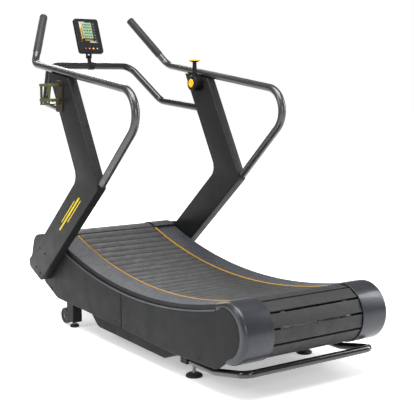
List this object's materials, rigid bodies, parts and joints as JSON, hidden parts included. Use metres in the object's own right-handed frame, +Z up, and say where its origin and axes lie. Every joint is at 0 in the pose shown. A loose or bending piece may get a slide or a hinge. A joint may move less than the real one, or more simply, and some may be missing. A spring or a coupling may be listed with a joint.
{
  "type": "curved manual treadmill",
  "caption": "Unpowered curved treadmill: slat belt on two drums, bent uprights with handrails, crossbar with console, brake lever, bottle holder, feet and wheels.",
  "frame": {"origin": "middle of the whole footprint on the floor, bottle holder and console included; the running centreline is the plane x = 0.0512", "axes": "+X to the runner's right, +Y forwards to the console, +Z up"},
  "size_m": [0.974, 2.0312, 1.6204],
  "materials": {
    "belt": "ribbed slats",
    "foot_rail": "anti-slip dots",
    "accent": "satin yellow",
    "cover": "satin charcoal",
    "cap": "glossy graphite",
    "frame": "powder coat",
    "handrail": "glossy dark grey",
    "black_plastic": "fine texture",
    "black_rubber": "matt",
    "pan": "matt",
    "steel": "machined",
    "screen": "glossy window",
    "red_key": "satin",
    "white_key": "satin",
    "yellow_plastic": "moulded yellow"
  },
  "bodies": {
    "frame": {"slat_belt": "belt", "foot_rail_left": "foot_rail", "foot_rail_right": "foot_rail", "accent_strip_left": "accent", "accent_strip_right": "accent", "side_cover_front_left": "cover", "side_cover_front_right": "cover", "side_cover_rear_left": "cover", "side_cover_rear_right": "cover", "rear_end_cap_left": "cap", "rear_end_cap_right": "cap", "front_end_cap_left": "cap", "front_end_cap_right": "cap", "side_frame_left": "frame", "side_frame_right": "frame", "front_leg_left": "frame", "front_leg_right": "frame", "upright_left": "frame", "upright_right": "frame", "cross_member_front": "frame", "cross_member_middle": "frame", "cross_member_rear": "frame", "handrail_left": "handrail", "handrail_right": "handrail", "lift_handle": "handrail", "crossbar": "black_plastic", "console_stem": "black_plastic", "brake_hub": "black_plastic", "bottle_holder": "black_plastic", "grip_plug_left": "black_plastic", "grip_plug_right": "black_plastic", "grip_left": "black_rubber", "grip_right": "black_rubber", "belly_pan": "pan", "front_bearing_left": "steel", "front_bearing_right": "steel", "rear_bearing_left": "steel", "rear_bearing_right": "steel", "roller_track_left": "steel", "roller_track_right": "steel"},
    "front_drum_set": {"front_drum": "steel", "brake_disc": "steel"},
    "rear_drum_set": {"rear_drum": "steel"},
    "lever": {"brake_lever": "black_plastic", "hub_cap": "yellow_plastic", "lever_knob": "yellow_plastic"},
    "magnet": {"magnet_carrier": "steel"},
    "console": {"console_housing": "black_plastic", "console_screen": "screen"},
    "button_1": {"console_button_1": "red_key"},
    "button_2": {"console_button_2": "white_key"},
    "button_3": {"console_button_3": "yellow_plastic"},
    "button_4": {"console_button_4": "white_key"},
    "front_foot_left_set": {"front_foot_left": "black_rubber"},
    "rear_foot_left_set": {"rear_foot_left": "black_rubber"},
    "front_foot_right_set": {"front_foot_right": "black_rubber"},
    "rear_foot_right_set": {"rear_foot_right": "black_rubber"},
    "wheel_left": {"transport_wheel_left": "black_rubber"},
    "wheel_right": {"transport_wheel_right": "black_rubber"}
  },
  "joints": [
    {"name": "front_drum_spin", "type": "hinge", "parent": "frame", "child": "front_drum_set", "pos_m": [0.0512, 0.72239, 0.34064], "axis": [1, 0, 0], "continuous": true},
    {"name": "rear_drum_spin", "type": "hinge", "parent": "frame", "child": "rear_drum_set", "pos_m": [0.0512, -0.88761, 0.27191], "axis": [1, 0, 0], "continuous": true},
    {"name": "brake_lever_tilt", "type": "hinge", "parent": "frame", "child": "lever", "pos_m": [0.437, 0.42939, 1.25], "axis": [1, 0, 0], "range_deg": [0, 45]},
    {"name": "magnet_swing", "type": "hinge", "parent": "frame", "child": "magnet", "pos_m": [0.3392, 0.58739, 0.318], "axis": [1, 0, 0], "range_deg": [-22, 0]},
    {"name": "console_tilt", "type": "hinge", "parent": "frame", "child": "console", "pos_m": [0.0512, 0.96162, 1.42044], "axis": [1, 0, 0], "range_deg": [-15, 15]},
    {"name": "button_1_press", "type": "slide", "parent": "console", "child": "button_1", "axis": [0, 0.9298, -0.3681], "range_m": [0, 0.0012], "stiffness_N_per_m": 300, "springref_m": -0.0008},
    {"name": "button_2_press", "type": "slide", "parent": "console", "child": "button_2", "axis": [0, 0.9298, -0.3681], "range_m": [0, 0.0012], "stiffness_N_per_m": 300, "springref_m": -0.0008},
    {"name": "button_3_press", "type": "slide", "parent": "console", "child": "button_3", "axis": [0, 0.9298, -0.3681], "range_m": [0, 0.0012], "stiffness_N_per_m": 300, "springref_m": -0.0008},
    {"name": "button_4_press", "type": "slide", "parent": "console", "child": "button_4", "axis": [0, 0.9298, -0.3681], "range_m": [0, 0.0012], "stiffness_N_per_m": 300, "springref_m": -0.0008},
    {"name": "front_foot_left_level", "type": "slide", "parent": "frame", "child": "front_foot_left_set", "axis": [0, 0, 1], "range_m": [-0.01, 0.01]},
    {"name": "rear_foot_left_level", "type": "slide", "parent": "frame", "child": "rear_foot_left_set", "axis": [0, 0, 1], "range_m": [-0.01, 0.01]},
    {"name": "front_foot_right_level", "type": "slide", "parent": "frame", "child": "front_foot_right_set", "axis": [0, 0, 1], "range_m": [-0.01, 0.01]},
    {"name": "rear_foot_right_level", "type": "slide", "parent": "frame", "child": "rear_foot_right_set", "axis": [0, 0, 1], "range_m": [-0.01, 0.01]},
    {"name": "wheel_left_spin", "type": "hinge", "parent": "frame", "child": "wheel_left", "pos_m": [-0.3093, 0.56739, 0.045], "axis": [1, 0, 0], "continuous": true},
    {"name": "wheel_right_spin", "type": "hinge", "parent": "frame", "child": "wheel_right", "pos_m": [0.4117, 0.56739, 0.045], "axis": [1, 0, 0], "continuous": true}
  ],
  "couplings": [
    {"joint": "rear_drum_spin", "follows": "front_drum_spin", "ratio": 1},
    {"joint": "magnet_swing", "follows": "brake_lever_tilt", "ratio": -0.48889}
  ]
}
